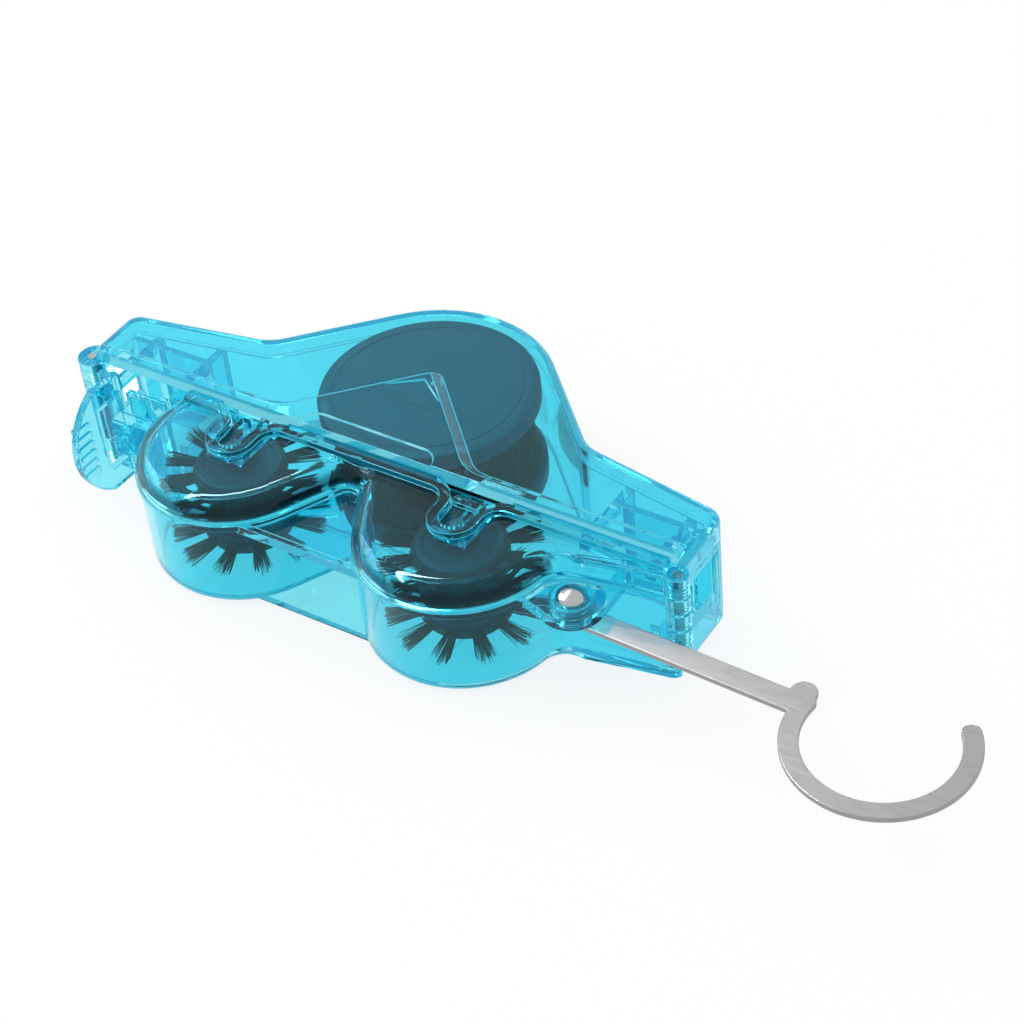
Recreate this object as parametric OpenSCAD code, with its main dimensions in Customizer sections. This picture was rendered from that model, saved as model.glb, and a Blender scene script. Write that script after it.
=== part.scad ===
// Bicycle chain scrubber: a hinged box of clear blue mouldings with one big and two small
// rotating brushes, a latch lever at one end and a wire-flat steel hook for the rear mech.
// Units are millimetres. The box lies on its back with its face up. X runs along the chain,
// Y from the tank towards the cover, Z through the thickness. The origin is on the back,
// half way between the axles of the two small brushes.

/* [Box] */
// Length of the box from end wall to end wall
box_len = 154; // [140:1:170]
// Height of the flat cover face above the back
cover_h = 29.8; // [28:0.1:34]
// Height of the tank face above the back
tank_h = 28.4; // [27:0.1:33]
// Distance of the parting line from the small axles
seam_y = 8; // [7.5:0.1:9]
// Wall of the clear mouldings
wall = 1.8; // [1.4:0.1:2.4]
// Gap between the tank edge and the cover edge
seam_gap = 0.35; // [0.2:0.05:0.6]
// Height of the raised panels on both faces
panel_rise = 1.8; // [0.8:0.1:2.4]

/* [Tank] */
// Radius of each round tank end
lobe_r = 22.4; // [21.6:0.1:24]
// Half the distance between the two small axles
axle_x = 28.7; // [28:0.1:31]
// Height of the rim where the tank face is welded on
rim_h = 23; // [20:0.5:24]
// Radius of the big round edge of the tank face
face_round = 4.6; // [3:0.1:5]
// Half angle of the valley between the round ends
valley_angle = 28; // [24:1:34]
// Depth of the tank edge at its right end, below the parting line
toe_depth = 3.6; // [3:0.1:5]
// Depth of the thin left arm, below the parting line
arm_depth = 1.8; // [1.6:0.1:2.4]
// Slope of the tank wall towards the right end, in degrees
toe_angle = 10; // [6:1:14]
// Reach of the web plates below the axles, at the back
web_drop = 16; // [12:0.5:18]

/* [Cover] */
// Radius of the big round end of the cover
dome_r = 29.2; // [28:0.1:31]
// Distance of the cover dome centre from the small axles
dome_y = 31.2; // [30:0.1:34]
// Distance of the arm top from the small axles, at the dome
arm_top = 31; // [28:0.5:33]
// Distance of the arm top from the small axles, at the ends
end_top = 25; // [23:0.5:27]
// Height of the joint between the cover mouldings
cover_split = 24; // [20:0.5:25]
// Width of the chain ports across the thickness
port_w = 12.5; // [10:0.5:14]
// Top of the chain ports above the small axles
port_top = 21.2; // [20:0.1:22]

/* [Brushes] */
// Radius of the big brush discs
disc_r = 24.5; // [22:0.1:25]
// Distance of the big axle from the small axles
disc_y = 32.8; // [32.5:0.1:33.4]
// Thickness of each big disc
disc_t = 4.4; // [3:0.1:5]
// Radius of the big axle
disc_axle_r = 2; // [1.5:0.1:2.5]
// Radius of the small brush hubs
hub_r = 9.7; // [8:0.1:10.5]
// Radius to the bristle tips of the small brushes
tip_r = 17.8; // [15:0.1:18]
// Height of the top of the small hubs
hub_top = 21.3; // [20:0.1:22]
// Radius of the small axles
small_axle_r = 1.6; // [1.2:0.1:2]
// Number of bristle tufts round each small row
tuft_count = 12; // [8:1:14]

/* [Latch and hinge] */
// Radius of the latch barrel
latch_r = 3.8; // [3:0.1:4.2]
// Thickness of the latch lever
lever_t = 2; // [1.6:0.1:2.6]
// Reach of the latch lever below the small axles
lever_drop = 11; // [8:0.5:13]
// Radius of the latch pin
latch_pin_r = 1.2; // [1:0.1:1.5]
// Radius of the hinge barrel
hinge_r = 2.4; // [2:0.1:2.8]
// Radius of the hinge pin
hinge_pin_r = 1; // [0.8:0.1:1.3]

/* [Hook] */
// Thickness of the hook strip
strip_t = 1.2; // [1:0.1:1.6]
// Width of the hook strip
strip_w = 5.2; // [4:0.1:6]
// Distance from the rivet to the middle of the hook bend
hook_reach = 68.4; // [60:0.1:80]
// Inside radius of the hook bend
bend_r = 14.9; // [12:0.1:17]
// Radius of the rivet shank
rivet_r = 2; // [1.5:0.1:2.5]
// Radius of the rivet head
rivet_head_r = 3.2; // [2.6:0.1:4]

/* [Hidden] */
$fn = 64;
arc_step = 7;
edge_step = 18;

// Play and overrun
over = 1;
run_gap = 0.05;
set_gap = 0.02;
side_gap = 0.3;

// Box
half_len = box_len / 2;
seam_top = seam_y + seam_gap;
reach = box_len;

// Cover outline
foot_round = 10;
end_round = 4;
back_round = 3;
rim_round = 2;
flank = 45;
foot_x = dome_y + dome_r / cos(flank) - arm_top;
arm_n = 90 - atan((arm_top - end_top) / (half_len - foot_x));
corner_y = end_top - end_round * (1 - cos(arm_n)) / sin(arm_n);
arm_c = half_len * cos(arm_n) + end_top * sin(arm_n);
flank_c = dome_y * sin(flank) + dome_r;
foot_c = meet(arm_n, arm_c + foot_round, flank, flank_c + foot_round);
cover_side = [[half_len, 0, 0, 0, 0, 1],
              [half_len - end_round, corner_y, end_round, 0, arm_n, 1],
              [foot_c.x, foot_c.y, foot_round, 180 + arm_n, 180 + flank, -1]];
cover_path = concat(cover_side, [[0, dome_y, dome_r, flank, 180 - flank, 1]],
                    flipped(cover_side));

// Raised gable panel on the cover face
gable_apex = 37.8;
gable_foot = 12.6;
gable_flare = 8;
gable_tip = 3;
gable_end = 1;
step_w = 2.4;
tongue_l = 34;
tongue_w = 8;
tongue_t = 0.4;
mark_y = 27;
mark_w = 14;
mark_h = 5;
gable_x = half_len - gable_end - gable_tip;
gable_side = [[half_len - gable_end, 0, 0, 0, 0, 1],
              [gable_x, gable_foot - gable_tip, gable_tip, 0, 90, 1],
              [gable_apex - gable_foot + gable_flare * tan(flank / 2), gable_foot + gable_flare,
               gable_flare, 270, 180 + flank, -1]];
gable_path = concat(gable_side,
                    [[0, gable_apex - gable_tip / cos(flank), gable_tip, flank, 180 - flank, 1]],
                    flipped(gable_side));

// Ribs and chain ports of the cover
port_low = 9.5;
inner_bay = 23.5;
outer_bay = 7.5;
rib_t = 2.2;
roof_t = 1.6;
rib_inner = half_len - inner_bay;
rib_outer = half_len - outer_bay;

// Tank outline
high_y = seam_y + lobe_r / 2;
arm_short = 11.6;
arm_end = half_len - arm_short;
arm_round = 11;
arm_tip = 0.6;
valley_round = 3;
heel_round = 6;
toe_round = 2.8;
arm_y = seam_y - arm_depth;
arm_cy = arm_y - arm_round;
arm_cx = -axle_x - sqrt(pow(lobe_r + arm_round, 2) - pow(arm_cy, 2));
arm_a = atan2(-arm_cy, -axle_x - arm_cx);
valley_cy = (axle_x * cos(valley_angle) - lobe_r - valley_round) / sin(valley_angle);
toe_n = toe_angle - 90;
toe_y = seam_y - toe_depth;
toe_c = half_len * cos(toe_n) + toe_y * sin(toe_n);
heel_c = toe_c + heel_round;
heel_off = heel_c - axle_x * cos(toe_n);
heel_run = sqrt(pow(lobe_r + heel_round, 2) - pow(heel_off, 2));
heel_x = heel_c * cos(toe_n) + (axle_x * sin(toe_n) - heel_run) * sin(toe_n);
heel_y = heel_c * sin(toe_n) - (axle_x * sin(toe_n) - heel_run) * cos(toe_n);
heel_a = atan2(heel_y, heel_x - axle_x);
toe_cy = (toe_c - toe_round - (half_len - toe_round) * cos(toe_n)) / sin(toe_n);
valley_part = [0, valley_cy, valley_round, 180 - valley_angle, valley_angle, -1];
right_part = [[axle_x, 0, lobe_r, 180 + valley_angle, 360 + heel_a, 1],
              [heel_x, heel_y, heel_round, 180 + heel_a, 90 + toe_angle, -1, 1, 0],
              [half_len - toe_round, toe_cy, toe_round, 270 + toe_angle, 360, 1, 0, 0],
              [half_len, high_y, 0, 0, 0, 1, 0, 0]];
tank_path = concat([[-arm_end, high_y, 0, 180, 180, 1, 0, 0],
                    [-arm_end + arm_tip, arm_y + arm_tip, arm_tip, 180, 270, 1, 0, 0],
                    [arm_cx, arm_cy, arm_round, 90, arm_a, -1, 0, 1],
                    [-axle_x, 0, lobe_r, 180 + arm_a, 360 - valley_angle, 1],
                    valley_part], right_part);
face_path = concat([[-axle_x, 0, lobe_r, 150, 360 - valley_angle, 1], valley_part], right_part);

// Tank details
tank_round = 2.5;
cavity_end = 4;
lip_rim = 0.4;
lip_depth = 1.5;
web_t = 1.6;
web_rib = 1.5;
web_step = 0.8;
web_more = 2.2;
valley_top = valley_cy + valley_round;
lip_w = 3;
lip_h = 1.4;
bead_w = 2.4;
pocket_r = 5.6;
pocket_y = -1;
pocket_flare = 4;
pocket_t = 0.8;
pill_l = 8;
pill_w = 2.2;
pill_drop = 3.2;
pill_y = seam_y - pill_drop;
pill_t = 1;
notch_end = 9;
notch_x = half_len - notch_end;
notch_l = 6;
notch_depth = 1;
guide_w = 2.2;
guide_drop = 3;
catch_out = 0.3;
catch_x = arm_end + catch_out;
catch_l = 14;
catch_y = 0.4;
catch_w = 3.6;
catch_h = 10;
tooth_w = 1.2;
tooth_t = 0.8;

// Hinge at the right end
hinge_inset = 0.8;
hinge_x = half_len - hinge_inset;
hinge_drop = 1.4;
hinge_y = seam_y - hinge_drop;
hinge_low = 4.2;
hinge_short = 2.3;
hinge_high = cover_h - hinge_short;
knuckles = 3;
knuckle_gap = 0.6;
knuckle_pitch = (port_w + knuckle_gap) / knuckles;

// Latch at the left end
latch_inset = 1.5;
latch_x = latch_inset - half_len;
latch_rise = 0.6;
latch_y = seam_y + latch_rise;
latch_low = 1;
latch_short = 0.8;
latch_high = cover_h - latch_short;
latch_mid_low = 8.3;
latch_mid_high = port_low + port_w - side_gap;
leg_drop = 4.3;
leg_y = latch_y - leg_drop;
leg_t = 1.7;
leg_run = 5.7;
leg_x = leg_run - half_len;
leg_short = 0.5;
plate_in = 9;
plate_x = plate_in - half_len;
plate_half = 14;
plate_rise = 8.3;
plate_z = (latch_low + latch_high) / 2;
plate_tilt = 3;
window_half = 8.5;
window_drop = 2;
window_top = 3.4;
catch_z = plate_z - catch_h / 2;
grips = 6;
grip_step = 2.55;
grip_w = 1.1;
grip_t = 0.9;
grip_low = -9.1;
grip_l = 4.5;

// Hook and rivet
rivet_out = 6.9;
rivet_x = axle_x + lobe_r + rivet_out;
rivet_y = -4.1;
eye_r = 4.6;
ear_r = 7;
ear_t = 3;
ear_a = 23;
ear_ring = 4.2;
ear_step = 0.4;
ear_high = rim_h - ear_step;
ear_low = ear_high - ear_t;
hook_drop = 2.4;
hook_z = ear_low - hook_drop;
boss_r = 3.5;
washer_t = 0.8;
tail_t = 1;
tail_r = 2.8;
head_h = 1.6;
arm_turn = -2;
bend_w = 3.9;
bend_drop = 3.6;
bend_start = 170;
bend_end = 396;
wedge_step = 30;
nub_r = 2.7;
nub_x = 50.3;
nub_y = 1.4;

// Big brush
disc_gap = 0.4;
disc_bore = 5.1;
core_r = 8;
axle_boss = 4.5;
axle_seat = 1;
axle_cover = 0.5;
axle_top = cover_h - axle_cover;
slice_t = 0.8;
slice_edge = 1.2;
tuft_gap = 2;
outer_tufts = 14;
inner_tufts = 9;
outer_ring = 20;
inner_ring = 13.5;
disc_low = wall + disc_gap;
disc_high = cover_h - wall - disc_gap - disc_t;

// Small brushes
hub_low = 3.7;
hub_core = 6.5;
flange_t = 4.5;
collar_t = 0.7;
collar_h = 1.6;
small_axle_low = wall + side_gap;
small_axle_high = tank_h - wall - side_gap;

// Bristles
strand_w = 0.22;
tuft_root = 0.45;
small_splay = 1.3;
big_splay = 1;
strand_sink = 0.5;

// Point where the lines with normals a and b, at distances c and e from the origin, meet
function meet(a, c, b, e) = [(c * sin(b) - e * sin(a)) / sin(b - a),
                             (e * cos(a) - c * cos(b)) / sin(b - a)];

// An outline is a list of arcs [x, y, radius, start, end, 1 for bulging or -1 for hollow],
// joined by straight lines and run anticlockwise. Two more values may give the share of the
// edge rounding at the start and the end of the arc. Here an outline is mirrored sideways.
function flipped(path) = [for (i = [len(path) - 1 : -1 : 0])
    [-path[i][0], path[i][1], path[i][2], 180 - path[i][4], 180 - path[i][3], path[i][5]]];

// Point of an arc at angle a when the outline is drawn in by d
function on_arc(arc, d, a) = let (r = arc[2] > 0 ? max(arc[2] - arc[5] * d, 0) : -d)
    [arc[0] + r * cos(a), arc[1] + r * sin(a)];

// Share of the edge rounding at part t of an arc
function edge_share(arc, t) = is_undef(arc[6]) ? 1 : arc[6] * (1 - t) + arc[7] * t;

// Points of an outline drawn in by d, and by r more where the edge is rounded
function ring(path, d, r, z) = [for (arc = path)
    let (n = arc[2] > 0 ? ceil(abs(arc[4] - arc[3]) / arc_step) : 0)
        for (i = [0 : n])
            let (t = n > 0 ? i / n : 0,
                 p = on_arc(arc, d + r * edge_share(arc, t), arc[3] + (arc[4] - arc[3]) * t))
                [p.x, p.y, z]];

// Triangles that fill a ring of points, found by cutting off one corner after another
function turn(a, b, c) = (b.x - a.x) * (c.y - a.y) - (b.y - a.y) * (c.x - a.x);
function covers(a, b, c, p) = turn(a, b, p) > 0 && turn(b, c, p) > 0 && turn(c, a, p) > 0;
function is_corner(pts, a, b, c, left) = turn(pts[a], pts[b], pts[c]) > 0
    && len([for (i = left) if (covers(pts[a], pts[b], pts[c], pts[i])) i]) == 0;
function corner_at(pts, left, k) = let (n = len(left))
    is_corner(pts, left[(k + n - 1) % n], left[k % n], left[(k + 1) % n], left) ? k
        : corner_at(pts, left, k + 1);
function filled(pts, left, k, done) = let (n = len(left)) n == 3 ? concat(done, [left])
    : let (c = corner_at(pts, left, k) % n)
        filled(pts, [for (i = [0 : n - 1]) if (i != c) left[i]], c + 1,
               concat(done, [[left[(c + n - 1) % n], left[c], left[(c + 1) % n]]]));

// Solid between rings of points with the same count, the lowest first
module loft(rings) {
    n = len(rings[0]);
    last = (len(rings) - 1) * n;
    foot = filled(rings[0], [for (i = [0 : n - 1]) i], 0, []);
    top = filled(rings[len(rings) - 1], [for (i = [0 : n - 1]) i], 0, []);
    polyhedron(points = [for (r = rings) each r],
               faces = concat(foot, [for (f = top) [last + f[2], last + f[1], last + f[0]]],
                              [for (k = [0 : n : last - n], i = [0 : n - 1])
                                  [k + i, k + n + i, k + (i + 1) % n]],
                              [for (k = [0 : n : last - n], i = [0 : n - 1])
                                  [k + (i + 1) % n, k + n + i, k + n + (i + 1) % n]]));
}

// Solid of the outline with a rounded upper edge of radius r
module rounded(path, d, low, high, r) {
    loft(concat([ring(path, d, 0, low)],
                [for (t = [0 : edge_step : 90])
                    ring(path, d, r * (1 - cos(t)), high - r * (1 - sin(t)))]));
}

// Flat shape inside an outline drawn in by d
module plan(path, d) {
    polygon([for (p = ring(path, d, 0, 0)) [p.x, p.y]]);
}

// The plan as a solid between two heights
module slab(path, d, low, high) {
    translate([0, 0, low]) linear_extrude(high - low) plan(path, d);
}

// Half spaces on either side of the parting line
module tank_side() {
    translate([-reach, -reach, -over]) cube([2 * reach, reach + seam_y, reach]);
}
module cover_side_space() {
    translate([-reach, seam_top, -over]) cube([2 * reach, reach, reach]);
}

// Upright pin or bore
module pin(x, y, r, low, high) {
    translate([x, y, low]) cylinder(h = high - low, r = r);
}

// Slotted seat for a small axle, open towards the cover
module guide(x, low, high) {
    r = small_axle_r + run_gap;
    difference() {
        translate([x - r - guide_w, -r - guide_w, low])
            cube([2 * (r + guide_w), seam_y - side_gap + r + guide_w, high - low]);
        pin(x, 0, r, low - over, high + over);
        translate([x - r, 0, low - over]) cube([2 * r, seam_y, high - low + 2 * over]);
    }
}

// Space that a turning hinge knuckle needs
module hinge_pocket(low, high) {
    pin(hinge_x, hinge_y, hinge_r + side_gap, low, high);
}

// Square block between opposite corners
module block(a, b) {
    translate(a) cube(b - a);
}

module tank_back() {
    web = axle_x - sqrt(pow(lobe_r - tank_round, 2) - pow(web_drop, 2));
    top_drop = web_drop + web_more;
    web_top = axle_x - sqrt(pow(lobe_r, 2) - pow(top_drop, 2));
    color("deepskyblue") difference() {
        union() {
            intersection() {
                mirror([0, 0, 1]) rounded(tank_path, 0, -rim_h, 0, tank_round);
                tank_side();
            }
            intersection() {
                slab(tank_path, -lip_rim, rim_h - lip_depth, rim_h);
                tank_side();
            }
            // Web plates that close the valley at the back and below the rim
            linear_extrude(web_t) polygon([[-web, -web_drop], [web, -web_drop],
                                           [axle_x / 2, valley_top], [-axle_x / 2, valley_top]]);
            translate([0, 0, rim_h - web_t - web_step]) linear_extrude(web_t)
                polygon([[-web_top, -top_drop], [web_top, -top_drop],
                         [axle_x / 2, valley_top], [-axle_x / 2, valley_top]]);
            block([-web_top, -top_drop, rim_h - web_t - web_step], [web_top, web_rib - top_drop, rim_h]);
            // Ear for the hook rivet
            translate([0, 0, ear_low]) linear_extrude(ear_high - ear_low) {
                translate([rivet_x, rivet_y]) circle(ear_r);
                polygon([[rivet_x, rivet_y - ear_r],
                         [axle_x + lobe_r * cos(ear_a), -lobe_r * sin(ear_a)],
                         [axle_x + lobe_r - wall, 0], [rivet_x, toe_y - toe_depth]]);
            }
            pin(rivet_x, rivet_y, boss_r, hook_z + strip_t + run_gap, ear_low);
            // Block that holds the latch lever shut
            block([-catch_x, catch_y, catch_z],
                  [catch_l - catch_x, catch_y + catch_w, catch_z + catch_h]);
            for (z = [catch_z + tooth_w : 2 * tooth_w : catch_z + catch_h - tooth_w])
                block([-catch_x, catch_y - tooth_t, z], [-arm_end + catch_w, catch_y, z + tooth_w]);
        }
        difference() {
            slab(tank_path, wall, wall, rim_h + over);
            block([-reach, -reach, 0], [-axle_x - lobe_r - cavity_end, reach, rim_h + 2 * over]);
        }
        pin(rivet_x, rivet_y, rivet_r + run_gap, 0, rim_h + over);
        pin(hinge_x, hinge_y, hinge_pin_r + run_gap, 0, rim_h + over);
        difference() {
            pin(rivet_x, rivet_y, ear_ring + ear_step, ear_high - ear_step, rim_h);
            pin(rivet_x, rivet_y, ear_ring, 0, rim_h + over);
        }
        hinge_pocket(hinge_low - side_gap, port_low + side_gap);
        hinge_pocket(port_low + port_w - side_gap, rim_h + over);
    }
    color("deepskyblue") {
        intersection() {
            for (side = [-1, 1]) guide(side * axle_x, wall, hub_low - side_gap);
            slab(tank_path, wall, 0, rim_h);
        }
        difference() {
            for (i = [0 : knuckles - 1])
                pin(hinge_x, hinge_y, hinge_r, port_low + i * knuckle_pitch,
                    port_low + (i + 1) * knuckle_pitch - knuckle_gap);
            pin(hinge_x, hinge_y, hinge_pin_r + run_gap, 0, rim_h);
        }
    }
}

// Outline of the channel that a small axle is dropped into
function pocket_path(x) = [
    [x - pocket_r - pocket_flare, seam_y - lip_w - pocket_flare, pocket_flare, 90, 0, -1],
    [x, pocket_y, pocket_r, 180, 360, 1],
    [x + pocket_r + pocket_flare, seam_y - lip_w - pocket_flare, pocket_flare, 180, 90, -1],
    [x + pocket_r + pocket_flare, seam_y + over, 0, 0, 0, 1],
    [x - pocket_r - pocket_flare, seam_y + over, 0, 180, 180, 1]];

module tank_face() {
    color("deepskyblue") difference() {
        union() {
            intersection() {
                difference() {
                    rounded(face_path, 0, rim_h, tank_h, face_round);
                    rounded(face_path, wall, rim_h - over, tank_h - wall, face_round - wall);
                }
                tank_side();
            }
            intersection() {
                for (side = [-1, 1]) guide(side * axle_x, tank_h - wall - guide_drop, tank_h - wall);
                slab(face_path, wall, rim_h, tank_h);
            }
            // Lip along the parting line, led round both axle channels
            intersection() {
                difference() {
                    union() {
                        block([face_round - axle_x - lobe_r, seam_y - lip_w, tank_h - wall],
                              [half_len, seam_y, tank_h + lip_h]);
                        for (side = [-1, 1])
                            slab(pocket_path(side * axle_x), 0, tank_h - wall, tank_h + lip_h);
                    }
                    for (side = [-1, 1])
                        slab(pocket_path(side * axle_x), bead_w, tank_h - pocket_t, tank_h + 2 * lip_h);
                }
                tank_side();
            }
        }
        for (side = [-1, 1])
            slab(pocket_path(side * axle_x), bead_w, tank_h - pocket_t, tank_h + lip_h + over);
        block([notch_x, -reach, rim_h], [notch_x + notch_l, toe_y - notch_depth, tank_h + over]);
        hinge_pocket(rim_h - over, tank_h + lip_h + over);
    }
    color("deepskyblue") translate([axle_x, pill_y, tank_h - pocket_t]) linear_extrude(pill_t) {
        for (side = [-1, 1]) translate([side * (pill_l - pill_w) / 2, 0]) circle(pill_w / 2);
        square([pill_l - pill_w, pill_w], center = true);
    }
}

// Knuckles of the latch barrel and of the hinge barrel between two heights
module cover_knuckles(low, high) {
    intersection() {
        union() {
            pin(latch_x, latch_y, latch_r, latch_low, latch_mid_low - side_gap);
            pin(latch_x, latch_y, latch_r, latch_mid_high + side_gap, latch_high);
            for (z = [[hinge_low, port_low - side_gap], [port_low + port_w + side_gap, hinge_high]]) {
                pin(hinge_x, hinge_y, hinge_r, z[0], z[1]);
                block([half_len - wall, hinge_y, z[0]], [half_len, seam_top + hinge_r, z[1]]);
            }
        }
        block([-reach, -reach, low], [reach, reach, high]);
    }
}

// What the latch, the hinge and the chain take from both cover mouldings
module cover_clearance() {
    for (side = [-1, 1])
        translate([side * (half_len + rib_inner) / 2, 0, port_low])
            translate([-half_len / 2, -reach, 0]) cube([half_len, reach + port_top, port_w]);
    pin(latch_x, latch_y, latch_r + side_gap, latch_mid_low - side_gap, latch_mid_high + side_gap);
    pin(latch_x, latch_y, latch_pin_r + run_gap, 0, cover_h);
    pin(hinge_x, hinge_y, hinge_pin_r + run_gap, 0, cover_h);
}

module cover_back() {
    color("deepskyblue") difference() {
        union() {
            intersection() {
                difference() {
                    mirror([0, 0, 1]) rounded(cover_path, 0, -cover_split, 0, back_round);
                    slab(cover_path, wall, wall, cover_split + over);
                }
                cover_side_space();
            }
            // Cross ribs and the roof of each chain channel
            intersection() {
                slab(cover_path, wall / 2, 0, cover_split);
                for (side = [-1, 1], x = [rib_inner, rib_outer])
                    block([side * x - rib_t / 2, seam_top, wall / 2],
                          [side * x + rib_t / 2, reach, cover_split]);
            }
            for (side = [-1, 1])
                block([min(side * rib_inner, side * (half_len - wall / 2)), port_top, wall / 2],
                      [max(side * rib_inner, side * (half_len - wall / 2)), port_top + roof_t,
                       cover_split]);
            pin(0, disc_y, axle_boss, wall / 2, disc_low + disc_t - side_gap);
            cover_knuckles(0, cover_split);
        }
        pin(0, disc_y, disc_axle_r + run_gap, axle_seat, cover_split);
        cover_clearance();
    }
}

module cover_face() {
    color("deepskyblue") difference() {
        union() {
            intersection() {
                difference() {
                    union() {
                        rounded(cover_path, 0, cover_split, cover_h, rim_round);
                        loft([ring(gable_path, 0, 0, cover_h - set_gap),
                              ring(gable_path, step_w, 0, cover_h + panel_rise)]);
                    }
                    slab(cover_path, wall, cover_split - over, cover_h - wall);
                }
                cover_side_space();
            }
            pin(0, disc_y, axle_boss, disc_high + side_gap, cover_h - wall / 2);
            cover_knuckles(cover_split, cover_h);
        }
        // Finger tongue at the parting line and the arrow mark below the gable
        translate([0, seam_top, cover_h + panel_rise - tongue_t]) linear_extrude(over) {
            for (side = [-1, 1]) translate([side * (tongue_l - tongue_w) / 2, 0]) circle(tongue_w / 2);
            square([tongue_l - tongue_w, tongue_w], center = true);
        }
        translate([0, mark_y, cover_h + panel_rise - tongue_t]) linear_extrude(over)
            polygon([[-mark_w / 2, 0], [mark_w / 2, 0], [0, mark_h]]);
        pin(0, disc_y, disc_axle_r + run_gap, disc_high, axle_top + side_gap);
        cover_clearance();
    }
}

// Side view of the latch lever, Y and Z, with the round free end and the window
module lever_side() {
    arc_r = (pow(plate_half, 2) + pow(plate_rise, 2)) / (2 * plate_rise);
    difference() {
        intersection() {
            translate([-lever_drop, plate_z - plate_half])
                square([lever_drop + leg_y + leg_t, 2 * plate_half]);
            translate([arc_r - lever_drop, plate_z]) circle(arc_r);
        }
        translate([-window_drop, plate_z - window_half]) square([window_drop + window_top, 2 * window_half]);
    }
}

module latch_lever() {
    color("deepskyblue") {
        difference() {
            union() {
                pin(latch_x, latch_y, latch_r, latch_mid_low, latch_mid_high);
                block([latch_x, leg_y, latch_mid_low], [plate_x, leg_y + leg_t, latch_mid_high]);
            }
            pin(latch_x, latch_y, latch_pin_r + run_gap, 0, cover_h);
        }
        block([leg_x, leg_y, plate_z - plate_half + leg_short],
              [plate_x + lever_t, leg_y + leg_t, plate_z + plate_half - leg_short]);
        translate([plate_x, leg_y + leg_t, 0]) rotate([0, 0, -plate_tilt])
            translate([0, -leg_y - leg_t, 0]) {
                rotate([90, 0, 90]) linear_extrude(lever_t) lever_side();
                for (i = [0 : grips - 1])
                    let (z = plate_z + (i - (grips - 1) / 2) * grip_step)
                        block([-grip_t, grip_low, z - grip_w / 2], [0, grip_low + grip_l, z + grip_w / 2]);
            }
    }
}

module latch_pin() {
    color("silver") pin(latch_x, latch_y, latch_pin_r, latch_low, latch_high);
}

module hinge_pin() {
    color("silver") pin(hinge_x, hinge_y, hinge_pin_r, hinge_low, hinge_high);
}

// Flat steel hook, drawn with the rivet at the origin and turned to its place
module hook() {
    r = bend_r + bend_w / 2;
    color("silver") translate([rivet_x, rivet_y, hook_z]) linear_extrude(strip_t) difference() {
        union() {
            circle(eye_r);
            rotate(arm_turn) translate([0, -strip_w / 2]) square([hook_reach - r, strip_w]);
            translate([nub_x, nub_y]) circle(nub_r);
            translate([hook_reach, -bend_drop]) {
                intersection() {
                    difference() {
                        circle(bend_r + bend_w);
                        circle(bend_r);
                    }
                    polygon([[0, 0], for (a = [bend_start : wedge_step : bend_end]) reach * [cos(a), sin(a)],
                             reach * [cos(bend_end), sin(bend_end)]]);
                }
                for (a = [bend_start, bend_end]) translate(r * [cos(a), sin(a)]) circle(bend_w / 2);
            }
        }
        circle(rivet_r + run_gap);
    }
}

module hook_rivet() {
    low = hook_z - washer_t - tail_t - run_gap;
    dome = (pow(rivet_head_r, 2) + pow(head_h, 2)) / (2 * head_h);
    color("silver") {
        pin(rivet_x, rivet_y, rivet_r, low, ear_high + head_h / 2);
        pin(rivet_x, rivet_y, tail_r, low, low + tail_t);
        intersection() {
            pin(rivet_x, rivet_y, rivet_head_r, ear_high, ear_high + head_h);
            translate([rivet_x, rivet_y, ear_high + head_h - dome]) sphere(dome);
        }
    }
}

module rivet_washer() {
    color("silver") difference() {
        pin(rivet_x, rivet_y, boss_r, hook_z - washer_t - run_gap, hook_z - run_gap);
        pin(rivet_x, rivet_y, rivet_r + set_gap, 0, rim_h);
    }
}

// One big brush disc with its moulded rim groove
module disc(low) {
    color("gray") difference() {
        pin(0, disc_y, disc_r, low, low + disc_t);
        pin(0, disc_y, disc_bore, low - over, low + disc_t + over);
    }
}
module big_disc_upper() disc(disc_high);
module big_disc_lower() disc(disc_low);

module big_core() {
    color("gray") difference() {
        pin(0, disc_y, core_r, disc_low + disc_t, disc_high);
        pin(0, disc_y, disc_axle_r + set_gap, 0, cover_h);
    }
}

module big_axle() {
    color("silver") pin(0, disc_y, disc_axle_r, axle_seat + side_gap, axle_top);
}

// One bristle, a square strand that thins from its root p to its tip q
module strand(p, q) {
    v = q - p;
    a = cross(v, abs(v.z) > norm(v) / 2 ? [1, 0, 0] : [0, 0, 1]);
    b = cross(v, a);
    e = strand_w * a / norm(a);
    f = strand_w * b / norm(b);
    polyhedron(points = [p + e, p + f, p - e, p - f, q + e / 2, q + f / 2, q - e / 2, q - f / 2],
               faces = [[0, 1, 2], [0, 2, 3], [4, 6, 5], [4, 7, 6],
                        for (i = [0 : 3]) each [[i, i + 4, (i + 1) % 4],
                                                [(i + 1) % 4, i + 4, 4 + (i + 1) % 4]]]);
}

// Five bristles that spread from one hole
module tuft(from, to, u, v, splay, corners) {
    strand(from, to);
    for (c = corners)
        strand(from + tuft_root * (c[0] * u + c[1] * v), to + splay * (c[0] * u + c[1] * v));
}

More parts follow.
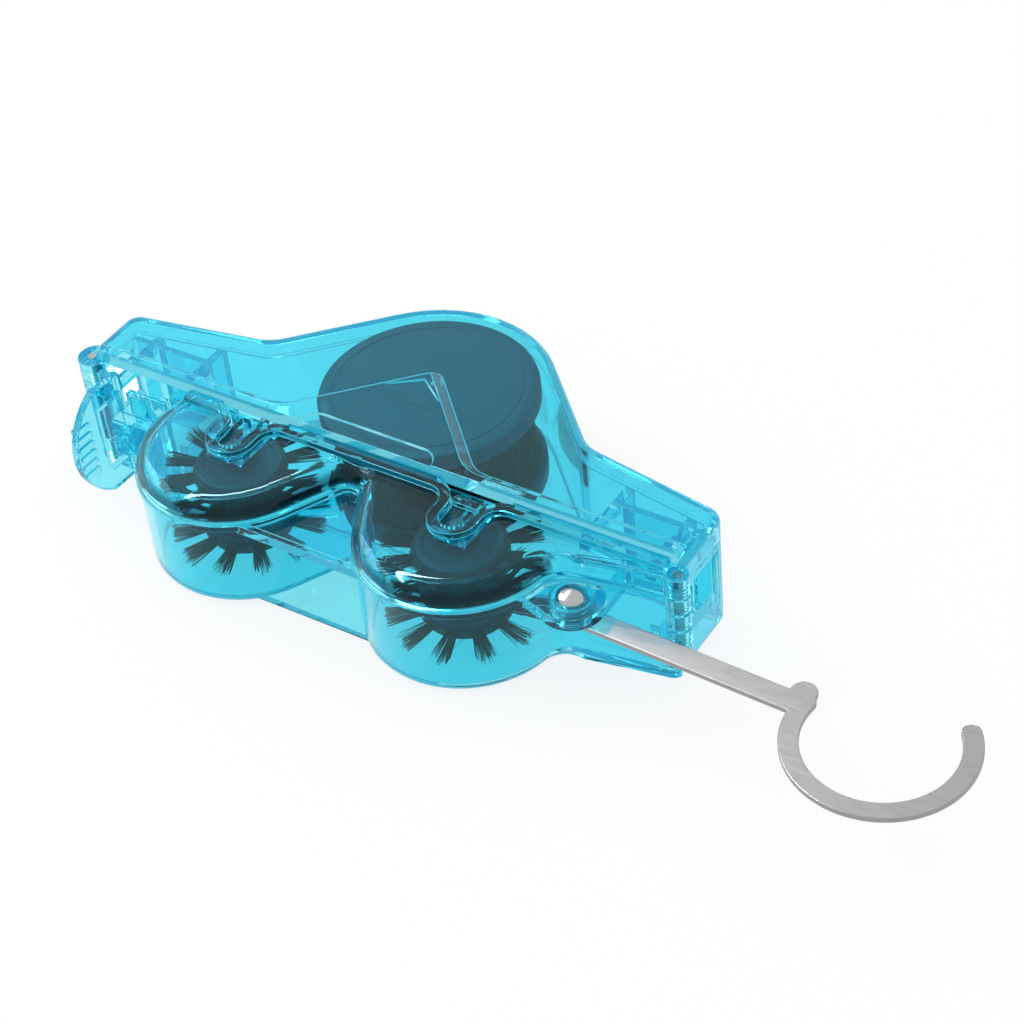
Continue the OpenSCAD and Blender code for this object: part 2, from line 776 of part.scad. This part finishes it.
// Round row of tufts on a collar that is pushed on a small hub
module small_row(x, z) {
    color("dimgray") {
        difference() {
            pin(x, 0, hub_r + collar_t, z - collar_h / 2, z + collar_h / 2);
            pin(x, 0, hub_r + set_gap, 0, cover_h);
        }
        for (i = [0 : tuft_count - 1])
            let (a = 180 * (2 * i + 1) / tuft_count, n = [cos(a), sin(a), 0])
                tuft([x, 0, z] + (hub_r + collar_t - strand_sink) * n, [x, 0, z] + tip_r * n,
                     [-sin(a), cos(a), 0], [0, 0, 1], small_splay, [[1, 1], [1, -1], [-1, 1], [-1, -1]]);
    }
}
small_high_z = hub_top - flange_t / 2;
small_low_z = hub_low + flange_t / 2;
module small_bristles_upper_left() small_row(-axle_x, small_high_z);
module small_bristles_upper_right() small_row(axle_x, small_high_z);
module small_bristles_lower_left() small_row(-axle_x, small_low_z);
module small_bristles_lower_right() small_row(axle_x, small_low_z);

// Bristles that stand on the inner face of a big disc, side is 1 upwards and -1 downwards
module big_field(z, side) {
    long = (disc_high - disc_low - disc_t - tuft_gap) / 2;
    color("dimgray") {
        difference() {
            pin(0, disc_y, disc_r - slice_edge, min(z, z + side * slice_t), max(z, z + side * slice_t));
            pin(0, disc_y, core_r + set_gap, 0, cover_h);
        }
        for (row = [[outer_ring, outer_tufts], [inner_ring, inner_tufts]], i = [0 : row[1] - 1])
            let (a = 360 * i / row[1], n = [cos(a), sin(a), 0],
                 foot = [0, disc_y, z + side * (slice_t - strand_sink)] + row[0] * n)
                for (c = [[1, 1], [1, -1], [-1, 1], [-1, -1]])
                    let (w = c[0] * n + c[1] * [-sin(a), cos(a), 0])
                        strand(foot + tuft_root * w,
                               [foot.x, foot.y, z + side * long] + big_splay * w);
    }
}
module big_bristles_upper() big_field(disc_high, -1);
module big_bristles_lower() big_field(disc_low + disc_t, 1);

// Small brush hub, a spool with two flanges on a thinner core
module small_hub(x) {
    color("dimgray") difference() {
        union() {
            pin(x, 0, hub_core, hub_low, hub_top);
            pin(x, 0, hub_r, hub_low, hub_low + flange_t);
            pin(x, 0, hub_r, hub_top - flange_t, hub_top);
        }
        pin(x, 0, small_axle_r + set_gap, 0, cover_h);
    }
}
module small_hub_left() small_hub(-axle_x);
module small_hub_right() small_hub(axle_x);

module small_axle(x) {
    color("silver") pin(x, 0, small_axle_r, small_axle_low, small_axle_high);
}
module small_axle_left() small_axle(-axle_x);
module small_axle_right() small_axle(axle_x);

tank_back();
tank_face();
cover_back();
cover_face();
latch_lever();
latch_pin();
hinge_pin();
hook();
hook_rivet();
rivet_washer();
big_disc_upper();
big_disc_lower();
big_core();
big_axle();
big_bristles_upper();
big_bristles_lower();
small_hub_left();
small_hub_right();
small_axle_left();
small_axle_right();
small_bristles_upper_left();
small_bristles_upper_right();
small_bristles_lower_left();
small_bristles_lower_right();
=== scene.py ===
import bpy
import bmesh
import math
import random
from mathutils import Matrix, Vector


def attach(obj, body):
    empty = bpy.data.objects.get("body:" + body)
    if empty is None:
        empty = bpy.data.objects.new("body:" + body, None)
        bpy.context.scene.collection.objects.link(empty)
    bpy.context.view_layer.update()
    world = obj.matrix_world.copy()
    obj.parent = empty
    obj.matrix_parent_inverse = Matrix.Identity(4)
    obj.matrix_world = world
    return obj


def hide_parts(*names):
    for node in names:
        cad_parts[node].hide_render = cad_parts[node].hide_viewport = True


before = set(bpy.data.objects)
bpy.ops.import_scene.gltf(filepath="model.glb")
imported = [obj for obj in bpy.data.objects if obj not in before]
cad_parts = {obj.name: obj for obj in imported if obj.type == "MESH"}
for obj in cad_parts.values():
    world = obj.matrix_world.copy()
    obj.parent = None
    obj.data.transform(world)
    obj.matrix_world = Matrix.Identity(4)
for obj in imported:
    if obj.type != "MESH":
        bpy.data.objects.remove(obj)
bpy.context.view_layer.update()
MM = 0.001
UP = Vector((0, 0, 1))

# Places and heights in millimetres, as in the part's source
DISC_Y = 32.8        # big brush, in the middle of the cover's bulge
AXLE_X = 28.7        # small brushes, to the left and right of the middle
TANK_SEAM = 23       # where the tank's face half is welded on
COVER_SEAM = 24      # where the cover's face half is welded on


# Camera, at the place and angle that the photograph was taken from
def look(azimuth, elevation, roll, target, distance):
    """The place and turn of a camera that sees the target from that side, in degrees."""
    a, e, r = (math.radians(v) for v in (azimuth, elevation, roll))
    ahead = Vector((math.sin(a) * math.cos(e), math.cos(a) * math.cos(e), -math.sin(e)))
    right = Vector((math.cos(a), -math.sin(a), 0))
    over = right.cross(ahead)
    x = right * math.cos(r) + over * math.sin(r)
    y = over * math.cos(r) - right * math.sin(r)
    place = Matrix((x, y, -ahead)).transposed().to_4x4()
    place.translation = target - ahead * distance
    return place


lens = bpy.data.cameras.new("camera")
lens.sensor_width = 36
lens.lens = 85.06
lens.shift_x = 0.1366
lens.shift_y = -0.0144
lens.clip_start = 0.01
camera = bpy.data.objects.new("camera", lens)
camera.matrix_world = look(azimuth=-40.566, elevation=40.608, roll=-9.209,
                           target=Vector((0, 8.4, 16)) * MM, distance=520.72 * MM)
bpy.context.scene.collection.objects.link(camera)
bpy.context.scene.camera = camera
bpy.context.scene.view_settings.view_transform = "Standard"

# Light has to get through several clear walls, each with two skins, and back inside them
WALL_BOUNCES = 32
bpy.context.scene.cycles.transparent_max_bounces = 48
bpy.context.scene.cycles.max_bounces = WALL_BOUNCES
bpy.context.scene.cycles.transmission_bounces = WALL_BOUNCES
bpy.context.scene.cycles.glossy_bounces = WALL_BOUNCES


# Materials
STYRENE_IOR = 1.45
NYLON_IOR = 1.5
LATE = 6.0           # bounces after which light counts as lost inside a clear wall, and a painted blue glow takes its place


def colour(code):
    """An sRGB hex colour as the linear colour that a shader takes."""
    parts = [int(code[i:i + 2], 16) / 255 for i in (0, 2, 4)]
    return tuple(c / 12.92 if c <= 0.04045 else ((c + 0.055) / 1.055) ** 2.4 for c in parts) + (1,)


def add(tree, kind, inputs=None, **settings):
    """A node of that kind with its settings, its values and its links."""
    node = tree.nodes.new(kind)
    for name, value in settings.items():
        setattr(node, name, value)
    for name, value in (inputs or {}).items():
        if isinstance(value, bpy.types.NodeSocket):
            tree.links.new(value, node.inputs[name])
        else:
            node.inputs[name].default_value = value
    return node


def new_material(name):
    """An empty material and its node tree."""
    material = bpy.data.materials.new(name)
    material.use_nodes = True
    material.node_tree.nodes.clear()
    return material, material.node_tree


def ramp(tree, value, low, high, out_low=0.0, out_high=1.0):
    """The value, with the range from low to high turned to the range that comes out."""
    return add(tree, "ShaderNodeMapRange", {"Value": value, "From Min": low, "From Max": high,
                                            "To Min": out_low, "To Max": out_high}).outputs[0]


def clear_styrene(name, wall, painted_shade_colour, gloss):
    """Clear blue styrene as it comes from a polished mould. It bends what is seen through it, so
    that every lip and step shows as a line, tints it light blue once for each wall, and its skin
    gives back the lamps sharply. Lamp light passes straight through with the same tint. A ray that
    stays long inside the wall gives out a painted blue glow in place of the light it loses. Where the
    mesh's depth attribute is 1, the wall takes the painted shade colour, painted shade that stands
    in for the unlit room it reflects."""
    material, tree = new_material(name)
    # Painted shade: the depth attribute blends the wall colour into the painted shade colour
    depth = add(tree, "ShaderNodeAttribute", attribute_name="depth").outputs["Fac"]
    tint = add(tree, "ShaderNodeMix", {0: depth, 6: colour(wall), 7: colour(painted_shade_colour)},
               data_type="RGBA").outputs[2]
    body = add(tree, "ShaderNodeBsdfPrincipled", {"Base Color": tint, "Roughness": gloss,
                                                  "IOR": STYRENE_IOR,
                                                  "Specular Tint": colour("a0deee"),
                                                  "Transmission Weight": 1.0})
    pass_tint = add(tree, "ShaderNodeGamma", {"Color": tint, "Gamma": 0.5})
    clear = add(tree, "ShaderNodeBsdfTransparent", {"Color": pass_tint.outputs[0]})
    ray = add(tree, "ShaderNodeLightPath")
    lamp_ray = add(tree, "ShaderNodeMath", {0: ray.outputs["Is Shadow Ray"],
                                            1: ray.outputs["Is Diffuse Ray"]}, operation="MAXIMUM")
    mix = add(tree, "ShaderNodeMixShader", {0: lamp_ray.outputs[0], 1: body.outputs[0],
                                            2: clear.outputs[0]})
    # Painted glow: past LATE bounces the wall gives out a flat blue light in place of the light that it
    # loses
    late = add(tree, "ShaderNodeMath", {0: ray.outputs["Ray Depth"], 1: LATE},
               operation="GREATER_THAN")
    glow = add(tree, "ShaderNodeEmission", {"Color": colour("3fb9d3"), "Strength": 1.0})
    whole = add(tree, "ShaderNodeMixShader", {0: late.outputs[0], 1: mix.outputs[0],
                                              2: glow.outputs[0]})
    add(tree, "ShaderNodeOutputMaterial", {"Surface": whole.outputs[0]})
    return material


def painted_lit_edge(name, base):
    """Painted light for the edges of a clear blue moulding: a half see-through bright blue stands in
    for light that runs inside the wall and comes out there, so that lips, ribs and steps show as
    bright blue lines."""
    material, tree = new_material(name)
    glow = add(tree, "ShaderNodeBsdfPrincipled", {"Base Color": colour(base), "Roughness": 0.15,
                                                  "IOR": STYRENE_IOR})
    clear = add(tree, "ShaderNodeBsdfTransparent", {"Color": colour("bdf0f8")})
    mix = add(tree, "ShaderNodeMixShader", {0: 0.45, 1: clear.outputs[0], 2: glow.outputs[0]})
    add(tree, "ShaderNodeOutputMaterial", {"Surface": mix.outputs[0]})
    return material


def plain(name, base, rough, grain, depth, metal=0.0, sheen=0.5, lines=1.0, vary=0.08):
    """One Principled surface. Grain is the size in millimetres of a fine moulded or ground
    texture, which varies the gloss and gives a slight relief. Lines draws it out along X."""
    material, tree = new_material(name)
    shader = add(tree, "ShaderNodeBsdfPrincipled", {"Base Color": colour(base), "Roughness": rough,
                                                    "Metallic": metal, "Specular IOR Level": sheen})
    if not metal:
        shader.inputs["IOR"].default_value = NYLON_IOR
    place = add(tree, "ShaderNodeTexCoord").outputs["Object"]
    drawn = add(tree, "ShaderNodeMapping", {"Vector": place, "Scale": (1 / lines, 1, 1)})
    noise = add(tree, "ShaderNodeTexNoise", {"Vector": drawn.outputs[0], "Scale": 1 / (grain * MM),
                                             "Detail": 3.0})
    tree.links.new(ramp(tree, noise.outputs["Fac"], 0.3, 0.7, rough - vary, rough + vary),
                   shader.inputs["Roughness"])
    bump = add(tree, "ShaderNodeBump", {"Height": noise.outputs["Fac"], "Strength": depth,
                                        "Distance": 0.1 * MM})
    tree.links.new(bump.outputs[0], shader.inputs["Normal"])
    add(tree, "ShaderNodeOutputMaterial", {"Surface": shader.outputs[0]})
    return material


# Styrene from a polished mould: clear light blue with sharp reflections, painted shade on the tank face's
# big round edge, and a painted blue glow for light lost inside its walls
CLEAR = clear_styrene("clear_blue_moulded_styrene", "86ebf8", "0b3342", 0.02)
# Its edges: painted light, a brighter and fuller blue than the walls
PAINTED_EDGE_LIGHT = painted_lit_edge("clear_blue_styrene_painted_edge_light", "45c9e2")
# Drawn nylon filament: near black with a soft shine along each strand
NYLON = plain("black_nylon_bristle", "0d1a20", 0.42, grain=0.4, depth=0.2, sheen=0.25)
# Nylon from a finely etched mould: dull charcoal, with the blue light that the clear box scatters onto it
# painted in as petrol blue
DISC = plain("charcoal_moulded_nylon", "084758", 0.42, grain=0.5, depth=0.2, sheen=0.12)
# The same for the small hubs, with the same painted blue, a little darker and smoother
HUB = plain("black_moulded_nylon", "0b303c", 0.38, grain=0.5, depth=0.2, sheen=0.15)
# Rolled steel strip: mid grey with faint streaks along it, drawn coarser than they are to show
STEEL = plain("bright_rolled_steel", "9c9b9c", 0.33, metal=1.0, grain=0.5, depth=0.15, lines=14,
              vary=0.05)
# Nickel plate: smooth and bright, with hardly any texture, for rivet, washer and pins
CHROME = plain("nickel_plated_steel", "b0b2b5", 0.14, metal=1.0, grain=1.5, depth=0.02, vary=0.03)


# Pieces
def new_piece(name, body, mesh, materials, replaced):
    """A piece of the scene that moves with a body and takes the place of a CAD node."""
    piece = bpy.data.objects.new(name, mesh)
    bpy.context.scene.collection.objects.link(piece)
    for material in materials:
        mesh.materials.append(material)
    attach(piece, body)
    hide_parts(replaced)
    return piece


def smooth(mesh, angle=30):
    """Smooth shading, with edges sharper than the angle kept hard."""
    mesh.shade_smooth()
    mesh.set_sharp_from_angle(angle=math.radians(angle))


def moulding(name, node, body, materials, edge, seam=0, plain_spots=(), painted_shade=None, lit=None):
    """A CAD node's shape with its loose triangles joined, smooth shading and slightly round
    edges, in millimetres, which take the last material: for the clear mouldings, the painted edge
    light. A plain spot is a round place between two heights that is made flat. The seam is the
    height of the face that is welded to the moulding below, with a hair of air left between the
    two, as a weld line shows it. Painted shade gives how much painted shade the wall takes at a
    point, and lit says which faces take the last material too, painted bright."""
    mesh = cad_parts[node].data.copy()
    mesh.name = name
    mesh.materials.clear()
    bm = bmesh.new()
    bm.from_mesh(mesh)
    bmesh.ops.remove_doubles(bm, verts=bm.verts, dist=1e-6)
    for x, y, radius, low, high in plain_spots:
        gone = [v for v in bm.verts if math.hypot(v.co.x / MM - x, v.co.y / MM - y) < radius
                and low < v.co.z / MM < high]
        bmesh.ops.delete(bm, geom=gone, context="VERTS")
        bmesh.ops.holes_fill(bm, edges=[e for e in bm.edges if e.is_boundary], sides=0)
    for v in bm.verts:
        if seam and abs(v.co.z / MM - seam) < 0.001:
            v.co.z += 0.03 * MM
    # Flat places become one face, tiny edges go, and triangles keep wide faces from folding over
    bmesh.ops.dissolve_limit(bm, angle_limit=math.radians(0.4), verts=bm.verts, edges=bm.edges)
    bmesh.ops.dissolve_degenerate(bm, dist=0.05 * MM, edges=bm.edges)
    bmesh.ops.triangulate(bm, faces=bm.faces, quad_method="BEAUTY", ngon_method="BEAUTY")
    bm.to_mesh(mesh)
    bm.free()
    for layer in list(mesh.attributes):
        if layer.name == "custom_normal":
            mesh.attributes.remove(layer)
    smooth(mesh)
    # Painted shade: each point's share of the painted shade colour, kept in the depth attribute
    if painted_shade:
        tint = mesh.attributes.new("depth", "FLOAT", "POINT")
        normals = [v.normal.copy() for v in mesh.vertices]
        for i, v in enumerate(mesh.vertices):
            tint.data[i].value = painted_shade(v.co / MM, normals[i])
    piece = new_piece(name, body, mesh, materials, node)
    # Painted light: the faces that lit picks take the last material, the bright painted edge
    if lit:
        for face in mesh.polygons:
            if lit(face.center / MM, face.normal):
                face.material_index = len(materials) - 1
    ease = piece.modifiers.new("round_edges", "BEVEL")
    ease.width = edge * MM
    ease.segments = 2
    ease.limit_method = "ANGLE"
    ease.angle_limit = math.radians(28)
    # The rounded edges take the last material, painted bright on the clear mouldings
    ease.material = len(materials) - 1
    ease.use_clamp_overlap = False
    ease.miter_outer = "MITER_ARC"
    weigh = piece.modifiers.new("even_normals", "WEIGHTED_NORMAL")
    weigh.keep_sharp = True
    weigh.mode = "FACE_AREA"
    return piece


def face_edge_painted_shade(p, n):
    """Painted shade on the big round edge of the tank face below its top line, standing in for the unlit
    room that it reflects.
    """
    if n.y > 0.2 or p.z < 23 or p.x > 52:
        return 0.0
    return min(1.0, 1.25 * max(0.0, 1 - abs(n.z - 0.42) / 0.42) ** 0.6)


def painted_light_places(p, n):
    """The parting faces and the lower edges of the walls, painted bright where light would gather in them.
    """
    parting = abs(n.y) > 0.9 and 7.9 < p.y < 8.5 and p.z > 22.5
    foot = p.z < 2.4 and -0.9 < n.z < -0.15
    return parting or foot


# The bosses of the big axle are left out inside the cover, where the discs look plain
BOSS = (0, DISC_Y, 4.7)
# The tank face takes painted shade on its big round edge, and each moulding takes painted light on its
# rims, parting faces and wall feet
for node, name, body, edge, seam, spots, painted_shade in [
        ("tank_back", "tank_floor_and_walls", "tank", 0.14, 0, (), None),
        ("tank_face", "tank_face_moulding", "tank", 0.14, TANK_SEAM, (), face_edge_painted_shade),
        ("cover_back", "cover_floor_and_walls", "cover", 0.14, 0, [BOSS + (0.5, 7)], None),
        ("cover_face", "cover_face_moulding", "cover", 0.16, COVER_SEAM, [BOSS + (23, 29.7)], None),
        ("latch_lever", "latch_lever_moulding", "lever", 0.14, 0, (), None)]:
    moulding(name, node, body, [CLEAR, PAINTED_EDGE_LIGHT], edge, seam, spots, painted_shade, painted_light_places)


# Turned and moulded round pieces
def lathe(bm, profile, x, y, steps=72):
    """Spins a closed outline of radius and height, in millimetres, round an upright line."""
    verts = [bm.verts.new((x * MM + r * MM, y * MM, z * MM)) for r, z in profile]
    edges = [bm.edges.new((verts[i], verts[(i + 1) % len(verts)])) for i in range(len(verts))]
    bmesh.ops.spin(bm, geom=verts + edges, cent=(x * MM, y * MM, 0), axis=UP, dvec=(0, 0, 0),
                   angle=2 * math.pi, steps=steps, use_merge=True, use_duplicate=False)


def arc(r, z, radius, start, end, steps=5):
    """Points of a rounded corner in a profile."""
    turns = [math.radians(start + (end - start) * i / steps) for i in range(steps + 1)]
    return [(r + radius * math.cos(turn), z + radius * math.sin(turn)) for turn in turns]


def finished(bm, name, body, material, replaced, merge=1e-6):
    """A piece from a bmesh, with its doubles merged and its faces turned outwards."""
    bmesh.ops.remove_doubles(bm, verts=bm.verts, dist=merge)
    bmesh.ops.recalc_face_normals(bm, faces=bm.faces)
    mesh = bpy.data.meshes.new(name)
    bm.to_mesh(mesh)
    bm.free()
    smooth(mesh, 35)
    return new_piece(name, body, mesh, [material], replaced)


def turned(name, body, material, replaced, profile, x, y):
    bm = bmesh.new()
    lathe(bm, profile, x, y)
    return finished(bm, name, body, material, replaced)


# Brush discs, with a round rim and a shallow ring on the outer face, and the axle that they hide
DISC_THICK = 4.4
for name, low, out in (("lower", 2.2, -1), ("upper", 23.2, 1)):
    face, near = (low + DISC_THICK, low) if out > 0 else (low, low + DISC_THICK)
    outline = [(0.0, near), (24.0, near), (24.5, near + out * 0.5), (24.5, face - out * 0.8),
               (24.26, face - out * 0.24), (23.7, face), (21.8, face), (21.6, face - out * 0.2),
               (21.0, face - out * 0.2), (20.8, face), (0.0, face)]
    turned("big_brush_disc_" + name, "big_brush", DISC, "big_disc_" + name,
           outline, 0, DISC_Y)
turned("big_brush_axle", "big_brush", CHROME, "big_axle",
       [(0.0, 6.7), (2.0, 6.7), (2.0, 23.1), (0.0, 23.1)], 0, DISC_Y)

# Small brush hubs: spools with round flanges and a ring on the top
for name, side in (("left", -1), ("right", 1)):
    outline = [(1.63, 3.7), (9.2, 3.7)] + arc(9.2, 4.2, 0.5, -90, 0) + arc(9.2, 7.7, 0.5, 0, 90)
    outline += [(7.0, 8.2), (6.5, 8.7), (6.5, 16.3), (7.0, 16.8)] + arc(9.2, 17.3, 0.5, -90, 0)
    outline += arc(9.1, 20.7, 0.6, 0, 90)
    outline += [(8.0, 21.3), (7.7, 20.9), (4.0, 20.9), (3.6, 21.3), (1.63, 21.3)]
    turned("small_brush_hub_" + name, "small_brush_" + name, HUB, "small_hub_" + name,
           outline, side * AXLE_X, 0)

# Rivet with a domed head and a closed end below
dome = [(3.2 * math.sin(math.radians(a)), 22.6 + 1.6 * math.cos(math.radians(a))) for a in range(90, 0, -9)]
turned("hook_rivet_domed", "tank", CHROME, "hook_rivet",
       [(0.0, 15.35), (2.6, 15.35), (2.8, 15.55), (2.8, 16.25), (2.7, 16.35), (2.0, 16.35), (2.0, 22.6),
        (3.1, 22.6)] + dome + [(0.0, 24.2)], 58, -4.1)


# Bristle tufts
STRAND = 0.13 * MM   # radius of a bristle at its root


def strand(bm, root, tip, thick):
    """One bristle, thinner at its tip."""
    way = tip - root
    place = way.to_track_quat("Z", "Y").to_matrix().to_4x4()
    place.translation = (root + tip) / 2
    bmesh.ops.create_cone(bm, cap_ends=True, segments=3, radius1=thick, radius2=thick * 0.55,
                          depth=way.length, matrix=place)


def tuft(bm, foot, way, length, hole, spread, count, dice):
    """A bundle of nylon bristles from one hole, a little splayed and uneven at the tips. The hole
    and the spread are its radii at the foot and at the tips, in millimetres."""
    side = way.cross(UP) if abs(way.z) < 0.9 else Vector((1, 0, 0))
    side.normalize()
    other = way.cross(side)
    for _ in range(count):
        turn, far = dice.uniform(0, 2 * math.pi), math.sqrt(dice.random())
        off = (side * math.cos(turn) + other * math.sin(turn)) * far
        wild = Vector((dice.uniform(-1, 1), dice.uniform(-1, 1), dice.uniform(-1, 1))) * 0.35
        reach = length * dice.uniform(0.9, 1.0)
        tip = foot + off * spread + way * reach + wild
        strand(bm, (foot + off * hole) * MM, tip * MM, STRAND)


# Small brushes: twelve tufts in a ring that sits in each flange
for name, side in (("left", -1), ("right", 1)):
    for level, z in (("upper", 19.05), ("lower", 5.95)):
        dice = random.Random(f"{name} {level}")
        bm = bmesh.new()
        lathe(bm, [(9.72, z - 0.8), (10.2, z - 0.8), (10.4, z - 0.6), (10.4, z + 0.6), (10.2, z + 0.8),
                   (9.72, z + 0.8)], side * AXLE_X, 0)
        for i in range(12):
            turn = math.radians(15 * (2 * i + 1))
            way = Vector((math.cos(turn), math.sin(turn), 0))
            tuft(bm, Vector((side * AXLE_X, 0, z)) + way * 9.9, way, 7.7, 1.15, 2.1, 54, dice)
        finished(bm, f"small_brush_row_{level}_{name}", "small_brush_" + name, NYLON,
                 f"small_bristles_{level}_{name}", merge=1e-8)

# Big brush: three rings of tufts on the inner face of each disc
for level, z, way in (("upper", 23.2, -1), ("lower", 6.6, 1)):
    dice = random.Random(level)
    bm = bmesh.new()
    lathe(bm, [(8.02, z), (23.3, z), (23.3, z + way * 0.8), (8.02, z + way * 0.8)], 0, DISC_Y)
    for ring, count in ((20.6, 18), (15.2, 12), (11.2, 8)):
        for i in range(count):
            turn = 2 * math.pi * i / count
            out = Vector((math.cos(turn), math.sin(turn), 0))
            tuft(bm, Vector((0, DISC_Y, z + way * 0.5)) + out * ring, Vector((0, 0, way)), 6.9,
                 1.3, 1.9, 36, dice)
    finished(bm, "big_brush_field_" + level, "big_brush", NYLON, "big_bristles_" + level,
             merge=1e-8)

moulding("flat_steel_hook", "hook", "hook", [STEEL], edge=0.18)

# CAD nodes that keep their shape and only take a finish
for node, finish in (("big_core", DISC), ("rivet_washer", CHROME), ("latch_pin", CHROME),
                     ("hinge_pin", CHROME), ("small_axle_left", CHROME), ("small_axle_right", CHROME)):
    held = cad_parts[node].data.materials
    held.clear()
    held.append(finish)


# Studio: white floor and surround, and two large soft lamps
def seen_ray(tree):
    """1 for rays that show the background to the camera, also by way of metal and clear plastic."""
    ray = add(tree, "ShaderNodeLightPath")
    seen = add(tree, "ShaderNodeMath", {0: ray.outputs["Is Camera Ray"],
                                        1: ray.outputs["Is Transmission Ray"]}, operation="MAXIMUM")
    return add(tree, "ShaderNodeMath", {0: seen.outputs[0], 1: ray.outputs["Is Glossy Ray"]},
               operation="MAXIMUM").outputs[0]


def studio_white(name, base):
    """Matt white paper. The camera sees it as white with the object's shadow on it."""
    material, tree = new_material(name)
    shader = add(tree, "ShaderNodeBsdfPrincipled", {"Base Color": colour(base), "Roughness": 0.9,
                                                    "Specular IOR Level": 0.1})
    white = add(tree, "ShaderNodeEmission", {"Color": (1, 1, 1, 1), "Strength": 1.0})
    share = ramp(tree, seen_ray(tree), 0, 1, 0.0, 0.82)
    mix = add(tree, "ShaderNodeMixShader", {0: share, 1: shader.outputs[0], 2: white.outputs[0]})
    add(tree, "ShaderNodeOutputMaterial", {"Surface": mix.outputs[0]})
    return material


def floor_plane():
    """The paper under the box, a hair below it."""
    bm = bmesh.new()
    bmesh.ops.create_grid(bm, x_segments=1, y_segments=1, size=3.0)
    mesh = bpy.data.meshes.new("studio_floor")
    bm.to_mesh(mesh)
    bm.free()
    mesh.materials.append(studio_white("white_paper", "fafafa"))
    floor = bpy.data.objects.new("studio_floor", mesh)
    floor.location.z = -0.2 * MM
    bpy.context.scene.collection.objects.link(floor)


def lamp(name, direction, distance, width, height, power):
    """A soft rectangular lamp that faces the middle of the box, in metres and watts."""
    light = bpy.data.lights.new(name, "AREA")
    light.shape = "RECTANGLE"
    light.size = width
    light.size_y = height
    light.energy = power
    holder = bpy.data.objects.new(name, light)
    away = Vector(direction).normalized()
    holder.matrix_world = away.to_track_quat("Z", "Y").to_matrix().to_4x4()
    holder.matrix_world.translation = Vector((0.02, 0.01, 0.02)) + away * distance
    bpy.context.scene.collection.objects.link(holder)
    return holder


floor_plane()
lamp("side_softbox", (-0.85, -0.1, 0.6), 0.9, 0.6, 0.4, 2.6)
strip = lamp("top_strip", (-0.494, 0.03, 0.868), 0.9, 0.9, 0.07, 8.0)
strip.visible_diffuse = False

world = bpy.data.worlds.new("white_room")
world.use_nodes = True
room = world.node_tree
room.nodes.clear()
strength = ramp(room, seen_ray(room), 0, 1, 0.9, 1.0)
air = add(room, "ShaderNodeBackground", {"Color": (1, 1, 1, 1), "Strength": strength})
add(room, "ShaderNodeOutputWorld", {"Surface": air.outputs[0]})
bpy.context.scene.world = world

bpy.context.view_layer.update()
